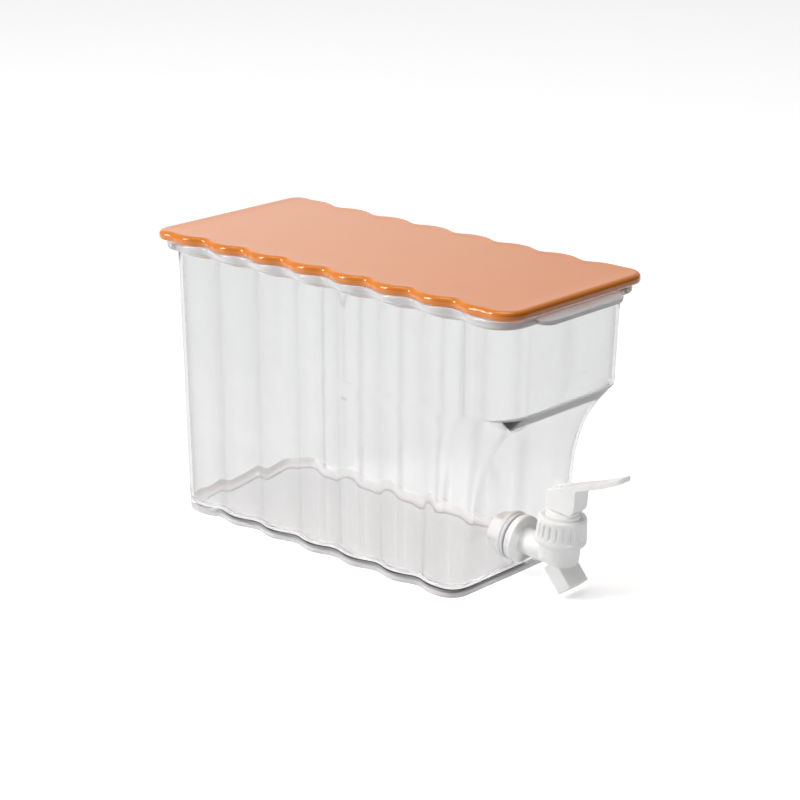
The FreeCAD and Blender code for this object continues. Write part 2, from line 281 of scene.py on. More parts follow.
def placeGroup(tree, group, values):
    node = tree.nodes.new("ShaderNodeGroup")
    node.node_tree = group
    for label, number in values.items():
        node.inputs[label].default_value = number
    return node


def newMaterial(name):
    material = bpy.data.materials.new(name)
    material.use_nodes = True
    tree = material.node_tree
    return material, tree, tree.nodes["Principled BSDF"]


def blendColours(tree, factor, first, second):
    mix = tree.nodes.new("ShaderNodeMix")
    mix.data_type = "RGBA"
    tree.links.new(factor, mix.inputs["Factor"])
    for socket, colour in ((mix.inputs["A"], first), (mix.inputs["B"], second)):
        if hasattr(colour, "links"):
            tree.links.new(colour, socket)
        else:
            socket.default_value = (*colour, 1.0)
    return mix.outputs["Result"]


def addBump(tree, shader, height, strength, distance):
    bump = tree.nodes.new("ShaderNodeBump")
    bump.inputs["Strength"].default_value = strength
    bump.inputs["Distance"].default_value = distance
    tree.links.new(height, bump.inputs["Height"])
    tree.links.new(bump.outputs["Normal"], shader.inputs["Normal"])


def plasticMaterial(name, look):  # opaque moulded plastic, rubber or silicone
    material, tree, shader = newMaterial(name)
    grain = placeGroup(tree, mouldGrain, {"Wave Scale": look["waveScale"], "Skin Scale": look["skinScale"],
                                          "Skin Share": look["skinShare"]})
    wear = placeGroup(tree, edgeWear, {"Width": look["edgeWidth"]})
    lines = placeGroup(tree, hairlines, {"Density": look["scratches"]})
    body = blendColours(tree, grain.outputs["Mottle"], look["colour"], look["mottleColour"])
    worn = blendColours(tree, wear.outputs["Mask"], body, look["edgeColour"])
    dusty = blendColours(tree, lines.outputs["Dust"], worn, look["dustColour"])
    tree.links.new(dusty, shader.inputs["Base Color"])
    rough = rangeNode(tree, grain.outputs["Mottle"], 0.0, 1.0, look["roughLow"], look["roughHigh"])
    rough = mathNode(tree, "MULTIPLY_ADD", lines.outputs["Scratch"], 0.25, rough)
    rough = mathNode(tree, "MULTIPLY_ADD", wear.outputs["Mask"], 0.12, rough)
    tree.links.new(rough, shader.inputs["Roughness"])
    addBump(tree, shader, grain.outputs["Height"], look["bump"], look["bumpDepth"])
    shader.inputs["IOR"].default_value = look["ior"]
    shader.inputs["Coat Weight"].default_value = look.get("coat", 0.0)
    shader.inputs["Coat Roughness"].default_value = look.get("coatRough", 0.1)
    shader.inputs["Subsurface Weight"].default_value = look.get("depthGlow", 0.0)
    shader.inputs["Subsurface Radius"].default_value = look.get("glowRadius", (0.002, 0.002, 0.002))
    shader.inputs["Subsurface Scale"].default_value = 1.0
    return material


lidLook = {
    "colour": (0.90, 0.245, 0.006), "mottleColour": (0.93, 0.26, 0.008), "edgeColour": (0.95, 0.30, 0.02),
    "dustColour": (0.90, 0.30, 0.03), "waveScale": 26.0, "skinScale": 1400.0, "skinShare": 0.05,
    "edgeWidth": 0.09, "scratches": 0.15, "roughLow": 0.13, "roughHigh": 0.17,
    "bump": 0.04, "bumpDepth": 0.0003, "ior": 1.5, "coat": 0.4, "coatRough": 0.05,
}
whiteLook = {
    "colour": (0.84, 0.84, 0.83), "mottleColour": (0.88, 0.88, 0.875), "edgeColour": (0.93, 0.93, 0.93),
    "dustColour": (0.76, 0.75, 0.73), "waveScale": 90.0, "skinScale": 2600.0, "skinShare": 0.12,
    "edgeWidth": 0.08, "scratches": 0.35, "roughLow": 0.30, "roughHigh": 0.38,
    "bump": 0.06, "bumpDepth": 0.0002, "ior": 1.49, "depthGlow": 0.15, "glowRadius": (0.0018, 0.0018, 0.0018),
}
siliconeLook = {
    "colour": (0.86, 0.86, 0.87), "mottleColour": (0.90, 0.90, 0.905), "edgeColour": (0.93, 0.93, 0.93),
    "dustColour": (0.8, 0.8, 0.79), "waveScale": 60.0, "skinScale": 1800.0, "skinShare": 0.25,
    "edgeWidth": 0.1, "scratches": 0.2, "roughLow": 0.45, "roughHigh": 0.6,
    "bump": 0.12, "bumpDepth": 0.0002, "ior": 1.41, "depthGlow": 0.4, "glowRadius": (0.003, 0.003, 0.003),
}
# the band and edge colours are painted shade, blended in where the wall is seen at a slant
clearLook = {
    "tint": (0.835, 0.837, 0.839), "deepTint": (0.820, 0.822, 0.825), "paintedBandShade": (0.36, 0.36, 0.365),
    "paintedEdgeShade": (0.08, 0.08, 0.085), "ior": 1.38, "bandPower": 1.9, "edgePower": 7.0, "clearness": 1.0,
    "roughLow": 0.006, "roughHigh": 0.018, "waveScale": 22.0, "bump": 0.04, "bumpDepth": 0.0003,
}
# painted light: a lighter, half-milky copy of the clear look for the thick rim, foot and ledge
rimLook = {
    "tint": (0.93, 0.93, 0.94), "deepTint": (0.90, 0.90, 0.91), "paintedBandShade": (0.84, 0.84, 0.85),
    "paintedEdgeShade": (0.55, 0.55, 0.57), "ior": 1.42, "bandPower": 2.0, "edgePower": 6.0, "clearness": 0.52,
    "roughLow": 0.04, "roughHigh": 0.08, "waveScale": 40.0, "bump": 0.05, "bumpDepth": 0.0002,
}
steelLook = {
    "colour": (0.62, 0.62, 0.61), "bright": (0.80, 0.80, 0.79), "roughLow": 0.18, "roughHigh": 0.34,
}


def clearMaterial(name, look):  # polished clear plastic with flow lines from moulding
    material, tree, shader = newMaterial(name)
    flow = noiseNode(tree, 1.0, 2.0, (look["waveScale"], look["waveScale"], look["waveScale"] * 0.12))
    lines = placeGroup(tree, hairlines, {"Density": 0.2})
    grain = placeGroup(tree, mouldGrain, {"Wave Scale": look["waveScale"] * 2, "Skin Scale": 1200.0,
                                          "Skin Share": 0.01})
    tint = blendColours(tree, grain.outputs["Mottle"], look["tint"], look["deepTint"])
    facing = tree.nodes.new("ShaderNodeLayerWeight")
    facing.inputs["Blend"].default_value = 0.5
    # painted shade: the flutes' slanted sides are darkened as the wall turns away from the view
    bandShadeMask = mathNode(tree, "POWER", facing.outputs["Facing"], look["bandPower"])  # the flutes' turned sides
    tint = blendColours(tree, bandShadeMask, tint, look["paintedBandShade"])
    # painted shade: a thin dark outline painted where the wall is seen edge-on
    edgeShadeMask = mathNode(tree, "POWER", facing.outputs["Facing"], look["edgePower"])  # the thin dark outline
    tree.links.new(blendColours(tree, edgeShadeMask, tint, look["paintedEdgeShade"]), shader.inputs["Base Color"])
    rough = rangeNode(tree, grain.outputs["Mottle"], 0.0, 1.0, look["roughLow"], look["roughHigh"])
    rough = mathNode(tree, "MULTIPLY_ADD", lines.outputs["Scratch"], 0.06, rough)
    tree.links.new(rough, shader.inputs["Roughness"])
    height = mathNode(tree, "ADD", flow, grain.outputs["Height"])
    addBump(tree, shader, height, look["bump"], look["bumpDepth"])
    shader.inputs["Transmission Weight"].default_value = look["clearness"]
    shader.inputs["IOR"].default_value = look["ior"]
    return material


def steelMaterial(name, look):
    material, tree, shader = newMaterial(name)
    drawn = noiseNode(tree, 1.0, 4.0, (300.0, 300.0, 3000.0))
    wear = placeGroup(tree, edgeWear, {"Width": 0.05})
    streaks = rangeNode(tree, drawn, 0.35, 0.65, 0.0, 1.0)
    colour = blendColours(tree, streaks, look["colour"], look["bright"])
    colour = blendColours(tree, wear.outputs["Mask"], colour, look["bright"])
    tree.links.new(colour, shader.inputs["Base Color"])
    rough = rangeNode(tree, drawn, 0.3, 0.7, look["roughLow"], look["roughHigh"])
    tree.links.new(rough, shader.inputs["Roughness"])
    addBump(tree, shader, drawn, 0.1, 0.0001)
    shader.inputs["Metallic"].default_value = 1.0
    return material


clearPlastic = clearMaterial("clearPlastic", clearLook)
thickPaintedLightPlastic = clearMaterial("thickPaintedLightPlastic", rimLook)  # painted light: a lighter, half-milky copy of the clear plastic, so the thick rim, foot and ledge render pale where trapped light would leave them dark
orangePlastic = plasticMaterial("orangePlastic", lidLook)
whitePlastic = plasticMaterial("whitePlastic", whiteLook)
milkSilicone = plasticMaterial("milkSilicone", siliconeLook)
springSteel = steelMaterial("springSteel", steelLook)
print("materials made")


def finishPiece(obj, material, body, node):
    obj.data.materials.clear()
    obj.data.materials.append(material)
    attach(obj, body)
    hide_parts(node)
    return obj


# tank, in millimetres like the real mould

tank = {
    "baseLength": 231.4, "baseWidth": 110.4, "rimHeight": 174.5, "wall": 2.0, "sideDraft": 2.7,
    "pitch": 33.0, "fluteDepth": 3.6, "firstValley": -81.4, "notchPower": 1.0,
    "backRadius": 20.0, "lowFrontRadius": 13.0, "highFrontRadius": 20.0,
    "frontLean": 5.0, "leanTop": 54.0, "hollowRadius": 88.0, "hollowEnd": 42.0,
    "shoulderRise": 9.15, "shoulderRadius": 3.0, "upperLean": 1.6,
    "floorTop": 4.0, "floorRadius": 6.0, "footRadius": 1.6, "footBand": 1.5, "rimBead": 2.8, "rimCorner": 14.0,
    "lugReach": 10.5, "lugHalf": 37.5, "lugHeight": 170.9, "lugDroop": 1.5, "paintedLightRimDepth": 6.6, "paintedLightFootHeight": 3.5,
    "paintedLightLedgeDepth": 5.0,
}
beadShape = [(1.2, -5.05), (2.0, -4.85), (2.6, -4.3), (2.8, -3.4), (2.8, -1.5),
             (2.65, -0.8), (2.2, -0.25), (1.5, 0.0)]  # how far out of the wall, and height from the rim's top
lipShape = [(0.6, 0.0), (1.3, -0.1), (1.8, -0.5), (2.0, -1.2)]  # how far inside the wall, and height
footShape = [(10, 1.2), (8.4, 1.2), (7.6, 0.9), (6.8, 0.2), (6.0, 0)]  # how far inside the wall, and height


def tangent(degrees):
    return math.tan(math.radians(degrees))


def frontProfile(t):  # (x, z, lean) up the tap end's wall
    points = [(t["baseLength"] / 2 + z * tangent(t["frontLean"]), z, t["frontLean"])
              for z in (0.0, 18.0, 36.0, t["leanTop"])]
    x, z, lean = points[-1]
    steps = 22
    first = math.radians(t["frontLean"])
    for i in range(1, steps + 1):
        turn = first + math.radians(t["hollowEnd"] - t["frontLean"]) * i / steps
        points.append((x + t["hollowRadius"] * (math.cos(first) - math.cos(turn)),
                       z + t["hollowRadius"] * (math.sin(turn) - math.sin(first)), math.degrees(turn)))
    x, z, lean = points[-1]
    x, z = x + t["shoulderRise"] * tangent(t["hollowEnd"]), z + t["shoulderRise"]
    points.append((x, z, t["hollowEnd"]))
    steps = 12
    first = math.radians(t["hollowEnd"])
    for i in range(1, steps + 1):
        turn = first + math.radians(t["upperLean"] - t["hollowEnd"]) * i / steps
        points.append((x + t["shoulderRadius"] * (math.cos(turn) - math.cos(first)),
                       z + t["shoulderRadius"] * (math.sin(first) - math.sin(turn)), math.degrees(turn)))
    x, z, lean = points[-1]
    for share in (0.1, 0.4, 0.7, 1.0):
        rise = (t["rimHeight"] - z) * share
        points.append((x + rise * tangent(t["upperLean"]), z + rise, t["upperLean"]))
    return points


profile = frontProfile(tank)
shoulderTop = profile[-5][1]


def frontAt(height, inset):
    for (x0, z0, lean0), (x1, z1, lean1) in zip(profile, profile[1:]):
        if height <= z1:
            break
    share = (height - z0) / (z1 - z0)
    lean = lean0 + (lean1 - lean0) * share
    return x0 + (x1 - x0) * share - inset / math.cos(math.radians(lean))


def fluteAt(x, left, right, depth, power):
    wave = ((1 + math.cos(2 * math.pi * (x - tank["firstValley"]) / tank["pitch"])) / 2) ** power
    room = max(0.0, min(1.0, min(x - left, right - x) / (tank["pitch"] / 2)))
    return depth * wave * room * room * (3 - 2 * room)


def outline(z, back, front, half, backCorner, frontCorner, depth, power=1.0, sideSteps=168, turnSteps=14):
    left, right = back + backCorner, front - frontCorner
    points = []
    for i in range(sideSteps):
        x = left + (right - left) * i / sideSteps
        points.append((x, -(half - fluteAt(x, left, right, depth, power))))
    points += arcPoints(right, -half + frontCorner, frontCorner, -90, turnSteps)
    for i in range(10):
        points.append((front, -(half - frontCorner) + 2 * (half - frontCorner) * i / 10))
    points += arcPoints(right, half - frontCorner, frontCorner, 0, turnSteps)
    for i in range(sideSteps):
        x = right + (left - right) * i / sideSteps
        points.append((x, half - fluteAt(x, left, right, depth, power)))
    points += arcPoints(left, half - backCorner, backCorner, 90, turnSteps)
    for i in range(10):
        points.append((back, (half - backCorner) - 2 * (half - backCorner) * i / 10))
    points += arcPoints(left, -half + backCorner, backCorner, 180, turnSteps)
    return [Vector((x, y, z)) for x, y in points]


def arcPoints(x, y, radius, start, steps):
    turns = [math.radians(start + 90 * i / steps) for i in range(steps)]
    return [(x + radius * math.cos(a), y + radius * math.sin(a)) for a in turns]


def tankRing(height, inset, level=None):
    share = height / tank["rimHeight"]
    back = -tank["baseLength"] / 2 - tank["sideDraft"] * share + inset
    half = tank["baseWidth"] / 2 + tank["sideDraft"] * share - inset
    blend = max(0.0, min(1.0, (height - tank["leanTop"]) / (shoulderTop - tank["leanTop"])))
    blend = blend * blend * (3 - 2 * blend)
    corner = tank["lowFrontRadius"] + (tank["highFrontRadius"] - tank["lowFrontRadius"]) * blend
    level = height if level is None else level
    return outline(level, back, frontAt(height, inset), half, tank["backRadius"] - inset, corner - inset,
                   tank["fluteDepth"], tank["notchPower"])


def rimRing(grow, level):  # the rolled rim has tighter corners than the wall below it
    half = tank["baseWidth"] / 2 + tank["sideDraft"] + grow
    back = -tank["baseLength"] / 2 - tank["sideDraft"] - grow
    corner = tank["rimCorner"] + (grow - tank["rimBead"])
    front = frontAt(tank["rimHeight"], 0) + grow
    return outline(level, back, front, half, corner, corner, tank["fluteDepth"], tank["notchPower"])


def makeTank():
    rim, foot, wall = tank["rimHeight"], tank["footRadius"], tank["wall"]
    rings = [tankRing(0, inset, level) for inset, level in footShape]
    for i in range(6):  # rounded foot edge
        turn = math.radians(18 * i)
        rings.append(tankRing(0, foot * (1 - math.sin(turn)), foot * (1 - math.cos(turn))))
    rings.append(tankRing(tank["floorTop"] + tank["footBand"], 0))
    heights = [z for x, z, lean in profile if z > foot + 1]
    rings += [tankRing(z, 0) for z in heights if z < rim - 8]
    rings += [tankRing(rim, 0, rim - 6.4), tankRing(rim, 0, rim - 5.7)]
    rings += [rimRing(grow, rim + rise) for grow, rise in beadShape]
    rings += [tankRing(rim, inset, rim + rise) for inset, rise in lipShape]
    low = tank["floorTop"] + tank["floorRadius"]
    rings += [tankRing(z, wall) for z in reversed(heights) if rim - 4 > z > low + 2]
    for i in range(9):  # rounded floor corner
        turn = math.radians(90 * i / 8)
        stepIn = tank["floorRadius"] * (1 - math.cos(turn))
        level = low - tank["floorRadius"] * math.sin(turn)
        rings.append(tankRing(level, wall + stepIn))
    rings.append(tankRing(tank["floorTop"], wall + tank["floorRadius"] + 2))
    verts, faces = stackRings(rings)
    return makeObject("tankShell", verts, faces, 50)


def makeLug():  # finger lug at the tap end, its ends swept back
    root, tip = frontAt(tank["rimHeight"], 0) + 1.6, frontAt(tank["rimHeight"], 0) + tank["lugReach"]
    half = tank["lugHalf"]
    plan = [(root, -half - 4), (root + 2.5, -half - 1), (tip - 2.5, -half + 1), (tip, -half + 6),
            (tip, half - 6), (tip - 2.5, half - 1), (root + 2.5, half + 1), (root, half + 4)]
    plan = roundPath(plan, 4.0, 6, closed=True, keep=(0, 7))
    middle = Vector((root, 0))
    rings = []
    for shrink, rise in ((0.9, -0.1), (0.35, 0.05), (0.0, 0.6), (0.0, 2.0), (0.35, 2.45), (0.9, 2.6)):
        ring = []
        for point in plan:
            away = point - middle
            pulled = point - away.normalized() * shrink if point.x > root + 0.2 else point
            droop = tank["lugDroop"] * ((pulled.x - root) / (tip - root)) ** 1.5
            ring.append(Vector((pulled.x, pulled.y, tank["lugHeight"] + rise - droop)))
        rings.append(ring)
    verts, faces = stackRings(rings)
    return makeObject("lug", verts, faces, 50)


tapSpot = {"height": 25.0, "holeRadius": 8.1}
tapPlace = (Matrix.Translation(Vector((frontAt(tapSpot["height"], 0), 0, tapSpot["height"])) * mm)
            @ Matrix.Rotation(math.radians(tank["frontLean"]), 4, "Y"))

container = scaled(combine(makeTank(), makeLug(), "UNION", 50))
hole = scaled(latheAlong("hole", [(tapSpot["holeRadius"], -9), (tapSpot["holeRadius"], 9)], 64), tapPlace)
combine(container, hole, "DIFFERENCE", 50)
container.name = "tankClearBody"
finishPiece(container, clearPlastic, "tank", "container")
# painted light: faces of the thick rim, foot and slanted ledge take the lighter, half-milky copy of the clear
# plastic
container.data.materials.append(thickPaintedLightPlastic)
for face in container.data.polygons:
    height = face.center.z / mm
    rim = height > tank["rimHeight"] - tank["paintedLightRimDepth"]
    foot = height < tank["floorTop"] + tank["paintedLightFootHeight"] and len(face.vertices) < 5  # not the flat floor
    slanted = abs(face.normal.x) > 0.3 and face.normal.x * face.normal.z < -0.12
    ledge = slanted and 0 < shoulderTop - height < tank["paintedLightLedgeDepth"]
    if rim or foot or ledge:
        face.material_index = 1
container.visible_shadow = False  # clear walls let the light through to the shelf
print("tank made", len(container.data.polygons))


# lid and its gasket

lid = {
    "bottom": 175.5, "top": 181.0, "overBack": 4.9, "overFront": 6.7, "overSide": 5.2,
    "backCorner": 10.0, "frontCorner": 14.0, "fluteDepth": 4.3, "notchPower": 1.5, "edgeWall": 2.2,
    "plate": 2.4, "skirtGap": 1.9, "skirtWall": 1.8, "skirtDepth": 8.0, "dish": 0.25,
}
topEdge = [(2.9, 0.0), (2.0, -0.12), (1.2, -0.45), (0.55, -1.05), (0.15, -1.8), (0.0, -2.7)]  # inset and drop
lowEdge = [(0.0, 1.3), (0.2, 0.6), (0.7, 0.12), (1.2, 0.0), (1.7, 0.1), (2.1, 0.5),
           (2.2, 1.0)]  # inset and rise


def lidRing(inset, level):
    back = -tank["baseLength"] / 2 - tank["sideDraft"] - lid["overBack"] + inset
    front = frontAt(tank["rimHeight"], 0) + lid["overFront"] - inset
    half = tank["baseWidth"] / 2 + tank["sideDraft"] + lid["overSide"] - inset
    backCorner, frontCorner = max(lid["backCorner"] - inset, 3.0), max(lid["frontCorner"] - inset, 3.0)
    return outline(level, back, front, half, backCorner, frontCorner, lid["fluteDepth"], lid["notchPower"])


def makeLid():
    top, bottom = lid["top"], lid["bottom"]
    rings = [lidRing(16, top - lid["dish"]), lidRing(9, top - lid["dish"] * 0.9), lidRing(5.4, top - 0.08)]
    rings += [lidRing(4.0, top)] + [lidRing(inset, top + drop) for inset, drop in topEdge]
    rings += [lidRing(inset, bottom + rise) for inset, rise in lowEdge]
    under = top - lid["plate"]
    rings += [lidRing(lid["edgeWall"], under - 0.6), lidRing(lid["edgeWall"] + 0.6, under)]
    outer = tank["wall"] + lid["skirtGap"]
    rim = tank["rimHeight"]
    low = rim - lid["skirtDepth"]
    rings += [tankRing(rim, outer, level) for level in (under, rim, low + 2.0)]
    skirtTip = [(0.25, low + 0.6), (0.9, low), (1.5, low + 0.3)]
    rings += [tankRing(rim, outer + inset, level) for inset, level in skirtTip]
    rings += [tankRing(rim, outer + lid["skirtWall"], level) for level in (low + 1.0, under - 0.5)]
    rings += [tankRing(rim, outer + lid["skirtWall"] + 0.6, under)]
    verts, faces = stackRings(rings)
    return scaled(makeObject("lidOrangeCover", verts, faces, 50))


def makeGasket():
    rim = tank["rimHeight"]
    under = lid["top"] - lid["plate"]
    inside = tank["wall"] + lid["skirtGap"] - 0.05
    sleeve = tank["wall"] + 0.4
    low = rim - lid["skirtDepth"] + 1.0
    section = [(inside, low), (sleeve + 0.5, low), (sleeve, low + 1.0), (sleeve, low + 2.2),
               (sleeve + 0.5, low + 2.8), (sleeve, low + 3.4), (sleeve, low + 4.8), (sleeve + 0.5, low + 5.4),
               (sleeve, low + 6.0), (sleeve - 0.2, rim + 0.1), (-0.1, rim + 0.02), (-0.7, rim + 0.6),
               (-0.4, rim + 1.4), (-0.7, rim + 2.2), (-0.4, rim + 3.0), (-0.7, under - 0.1),
               (inside, under - 0.02)]
    section = roundPath(section, 0.35, 3, closed=True)
    rings = [tankRing(rim, inset, level) for inset, level in section]
    verts, faces = stackRings(rings, loop=True)
    return scaled(makeObject("lidSealRing", verts, faces, 50))


cover = finishPiece(makeLid(), orangePlastic, "lid", "lid")
cover.visible_shadow = False  # keeps the shelf as bright inside the tank as beside it
finishPiece(makeGasket(), milkSilicone, "lid", "lid_gasket")
print("lid made")


# tap, drawn in its own frame: x out of the wall, z up

tap = {
    "axisOut": 30.5, "shankRadius": 7.8, "flangeRadius": 14.5, "washer": 2.4, "flange": 2.3,
    "barrelRadius": 12.0, "barrelBottom": -3.2, "neckBottom": 8.6, "neckTop": 20.2, "neckRadius": 10.7,
    "spoutWidth": 18.0, "spoutThickness": 10.6, "spoutReach": 42.0, "insideLength": 17.0,
    "voxel": 0.0003, "softSteps": 4,
}


def slantBar(width, thickness, start, end, shift=0.0, rounding=1.1):
    w, t = width / 2, thickness / 2
    corners = [(-w, -t + shift), (w, -t + shift), (w, t + shift), (-w, t + shift)]
    section = roundPath(corners, rounding, 5, closed=True)
    offset = (tap["axisOut"] + tap["barrelBottom"] - 0.6) * math.sin(math.radians(45))
    along = Vector((1, 0, -1)).normalized()
    rise = Vector((1, 0, 1)).normalized()
    rings = []
    for place in (start, end):
        rings.append([along * place + Vector((0, y, 0)) + rise * (offset + z) for y, z in section])
    verts, faces = stackRings(rings)
    return makeObject("bar", verts, faces)


def makeTapBody():
    x, b = tap["axisOut"], tap["barrelBottom"]
    stack = tap["washer"] + tap["flange"]
    shank = latheAlong("shank", [(tap["shankRadius"], -tap["insideLength"]), (tap["shankRadius"], x - 3)])
    wide, thin, full = tap["flangeRadius"], tap["shankRadius"], tap["barrelRadius"]
    disc = [(0.5, tap["washer"]), (wide, tap["washer"]), (wide, stack), (thin + 1.2, stack),
            (thin, stack + 1.2), (0.5, stack + 1.4)]
    flange = latheAlong("flange", roundPath(disc, 0.8, 4))
    barrel = latheUpright("barrel", [(full - 0.3, b), (full, 2), (full, tap["neckBottom"])], x)
    heel = slantBar(60, 60, -40, 80, 30 - tap["spoutThickness"] / 2, 0.5)
    combine(barrel, heel, "INTERSECT")
    top, low, side = tap["neckBottom"] + 1, b - 0.4, tap["spoutWidth"] / 2 + 0.1
    wedge = [(-12.6, top), (-12.6, 1.6), (-side, low), (side, low), (12.6, 1.6), (12.6, top)]
    wedgeRings = [[Vector((place, y, z)) for y, z in wedge] for place in (x - 15, x + 15)]
    combine(barrel, makeObject("wedge", *stackRings(wedgeRings)), "INTERSECT")
    slim = tap["neckRadius"]
    neck = latheUpright("neck", [(slim, tap["neckBottom"] - 1), (slim, tap["neckTop"])], x)
    spout = slantBar(tap["spoutWidth"], tap["spoutThickness"], 24, tap["spoutReach"])
    body = scaled(joinShapes("tapWhiteBody", [shank, flange, barrel, neck, spout]), tapPlace)
    mouldTogether(body, tap["voxel"], tap["softSteps"])
    mouth = slantBar(tap["spoutWidth"] - 5, tap["spoutThickness"] - 4.6, 30, tap["spoutReach"] + 3, 0, 1.6)
    return combine(body, scaled(mouth, tapPlace), "DIFFERENCE")


finishPiece(makeTapBody(), whitePlastic, "tank", "tap_body")
print("tap body made")


def makeWasher(name, start):
    inner, outer, thick = tap["shankRadius"] + 0.15, 14.0, tap["washer"]
    corners = [(inner, start), (outer, start), (outer, start + thick), (inner, start + thick)]
    section = roundPath(corners, 0.7, 4, closed=True)
    return scaled(latheAlong(name, section, 96, 35, loop=True), tapPlace)


finishPiece(makeWasher("outerSealWasher", 0.0), milkSilicone, "tank", "outer_washer")
innerPlace = -tank["wall"] - tap["washer"]
finishPiece(makeWasher("innerSealWasher", innerPlace), milkSilicone, "tank", "inner_washer")


nut = {"bore": 8.0, "flangeRadius": 14.5, "flange": 3.0, "acrossFlats": 21.0, "length": 12.0, "chamfer": 1.6,
       "roundedFrom": 10.2}


def makeLockNut():
    seat = -tank["wall"] - tap["washer"]
    bore, wide, under = nut["bore"], nut["flangeRadius"], seat - nut["flange"]
    section = roundPath([(bore, seat), (wide, seat), (wide, under), (bore, under)], 0.8, 4, closed=True)
    flange = latheAlong("nutFlange", section, 96, 35, loop=True)
    end = seat - nut["length"]
    rings = []
    for radius, place in ((7.95, seat - 0.5), (40.0, seat - 0.5), (40.0, end), (7.95, end)):
        ring = []
        for i in range(144):
            turn = 2 * math.pi * i / 144
            flat = nut["acrossFlats"] / 2 / math.cos((turn + math.pi / 6) % (math.pi / 3) - math.pi / 6)
            flat = min(flat, nut["acrossFlats"] / 2 * 1.11)
            chamfer = nut["chamfer"] * max(0, flat - nut["roundedFrom"]) / 2
            drop = 0.0 if radius < 40 or place != end else chamfer
            size = radius if radius < 40 else flat
            ring.append(Vector((place + drop, size * math.sin(turn), size * math.cos(turn))))
        rings.append(ring)
    verts, faces = stackRings(rings, loop=True)
    hexagon = makeObject("nutHex", verts, faces)
    body = scaled(joinShapes("lockNutInside", [flange, hexagon]), tapPlace)
    return mouldTogether(body, 0.00034, 5)


finishPiece(makeLockNut(), whitePlastic, "tank", "lock_nut")
print("lock nut made")


collar = {"bottom": 9.0, "ribs": 22, "ribDepth": 1.15, "ribStart": 3.7, "ribLength": 10.9, "ribRadius": 14.9,
          "taper": 0.75}
collarFoot = [(14.6, 0.0), (15.0, 0.15), (15.2, 0.6), (15.2, 2.8), (15.0, 3.2),
              (14.9, 3.5)]  # radius and height
collarTop = [(14.05, 15.0), (13.8, 15.5), (13.3, 15.9), (12.6, 16.0), (11.3, 16.0), (10.7, 15.85), (10.4, 15.4),
             (10.4, 13.9), (11.0, 13.8), (11.0, 0.6), (11.3, 0.1), (11.8, 0.0)]  # over the top, then down inside


def makeCollar():
    c = collar
    columns = c["ribs"] * 18
    outer = [(radius, rise, 0) for radius, rise in collarFoot]
    for i in range(13):
        share = i / 12
        fade = max(0.0, min(1.0, share * 9, (0.86 - share) * 7))
        outer.append((c["ribRadius"] - c["taper"] * share, c["ribStart"] + c["ribLength"] * share, fade))
    outer += [(radius, rise, 0) for radius, rise in collarTop]
    rings = []
    for radius, rise, ribbed in outer:
        ring = []
        for i in range(columns):
            turn = 2 * math.pi * i / columns
            phase = (i % 18) / 18
            groove = max(0.0, math.cos(2 * math.pi * phase)) ** 0.8
            size = radius - ribbed * c["ribDepth"] * groove
            x, y = tap["axisOut"] + size * math.cos(turn), size * math.sin(turn)
            ring.append(Vector((x, y, c["bottom"] + rise)))
        rings.append(ring)
    verts, faces = stackRings(rings, loop=True)
    return scaled(makeObject("collarRibbedNut", verts, faces, 60), tapPlace)


finishPiece(makeCollar(), whitePlastic, "tank", "collar_nut")


bonnetShape = [(3.3, 20.9), (10.6, 21.0), (10.6, 22.7), (10.3, 22.8), (10.3, 26.4), (9.7, 27.0), (8.9, 27.1),
               (8.7, 28.4), (3.3, 28.4)]  # radius and height


def makeBonnet():
    section = roundPath(bonnetShape, 0.4, 4, closed=True)
    return scaled(latheUpright("bonnetGuide", section, tap["axisOut"], 128, 35, loop=True), tapPlace)


finishPiece(makeBonnet(), whitePlastic, "tank", "bonnet")
print("collar and bonnet made")


# lever, pin and the pieces inside

lever = {
    "width": 13.2, "back": 21.0, "front": 42.0, "bottom": 28.6, "topBack": 39.3, "rise": 23.5,
    "thickness": 3.2, "bend": 59.2, "tip": 70.5, "tipRise": 29.0, "slotWidth": 5.2,
    "voxel": 0.00026, "softSteps": 7,
}


def makeLever():
    v = lever
    drop = v["thickness"] / math.cos(math.radians(v["rise"]))
    topBend = v["topBack"] + (v["bend"] - v["back"]) * tangent(v["rise"])
    tipTop = topBend + (v["tip"] - v["bend"]) * tangent(v["tipRise"])
    under = v["topBack"] + (v["front"] - v["back"]) * tangent(v["rise"]) - drop
    side = [(v["back"], v["bottom"]), (v["front"], v["bottom"]), (v["front"], under),
            (v["bend"] + 1.0, topBend - drop + 0.4), (v["tip"] + 1.4, tipTop - drop + 0.8),
            (v["tip"], tipTop), (v["bend"], topBend), (v["back"], v["topBack"])]
    side = roundPath(side, [4.0, 5.5, 0.8, 6.0, 1.2, 1.2, 8.0, 1.0], 8, closed=True)
    rings = [[Vector((x, y, z)) for x, z in side] for y in (-v["width"] / 2, v["width"] / 2)]
    blade = makeObject("leverWhiteHandle", *stackRings(rings))
    half = v["width"] / 2 - 0.05
    plan = roundPath([(10, -half), (44, -half), (v["tip"] + 1.2, -half + 0.8), (v["tip"] + 1.2, half - 0.8),
                      (44, half), (10, half)], [0.1, 0.1, 4.5, 4.5, 0.1, 0.1], 8, closed=True)
    outlineRings = [[Vector((x, y, z)) for x, y in plan] for z in (20, 80)]
    combine(blade, makeObject("plan", *stackRings(outlineRings)), "INTERSECT")
    gap = v["slotWidth"] / 2
    for x1, z0, z1 in ((36.9, 20, 39.4), (29.0, 36, 55)):
        corners = ((10, -gap), (x1, -gap), (x1, gap), (10, gap))
        hollow = [[Vector((x, y, z)) for x, y in corners] for z in (z0, z1)]
        combine(blade, makeObject("slotCut", *stackRings(hollow)), "DIFFERENCE")
    mouldTogether(scaled(blade, tapPlace), v["voxel"], v["softSteps"])
    return blade


finishPiece(makeLever(), whitePlastic, "lever", "lever")
print("lever made")

spring = {"radius": 4.35, "wire": 0.45, "bottom": 3.65, "top": 25.05, "seat": 25.5, "turns": 9, "lift": 2.7}


